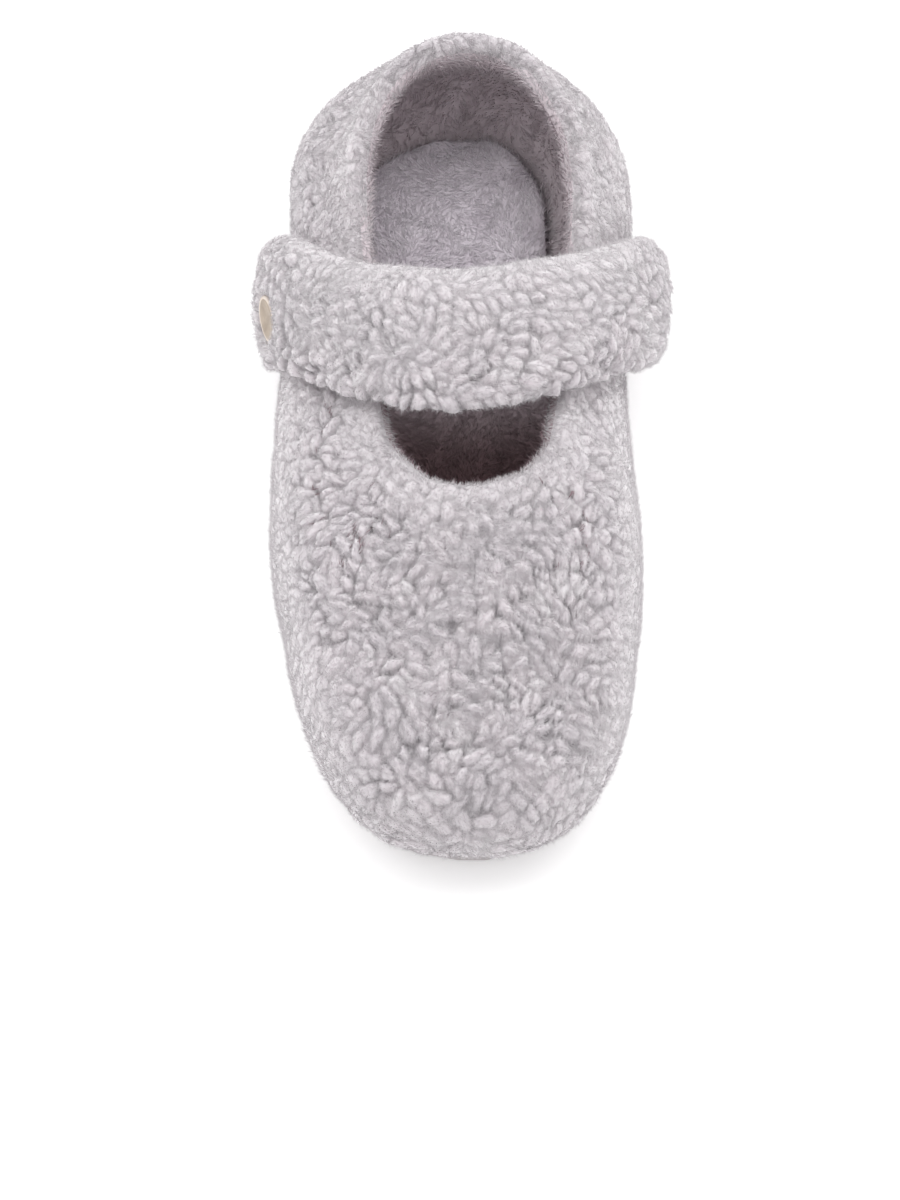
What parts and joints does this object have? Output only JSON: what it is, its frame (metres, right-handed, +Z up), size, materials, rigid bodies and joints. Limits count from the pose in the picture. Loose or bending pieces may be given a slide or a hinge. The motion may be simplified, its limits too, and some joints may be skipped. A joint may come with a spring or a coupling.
{
  "type": "mary jane slipper",
  "caption": "Right-foot mary jane slipper with a curly fleece upper, a wide fleece strap over the instep, a plush footbed and a low grooved rubber sole.",
  "frame": {"origin": "on the floor, under the middle of the bounding box", "axes": "+Z up from the floor, +Y from toe to heel, +X towards the inner (big toe) side"},
  "size_m": [0.1208, 0.258, 0.0825],
  "materials": {
    "curly_fleece": "pale lavender-grey curly pile, about 8 mm with its backing and lining",
    "plush_footbed": "grey-mauve short plush",
    "moulded_rubber": "matt grey moulded rubber",
    "tan_suede": "tan suede over a domed button"
  },
  "bodies": {
    "root": {"outsole": "moulded_rubber", "insole": "plush_footbed", "upper": "curly_fleece", "strap": "curly_fleece", "button": "tan_suede"}
  },
  "joints": []
}
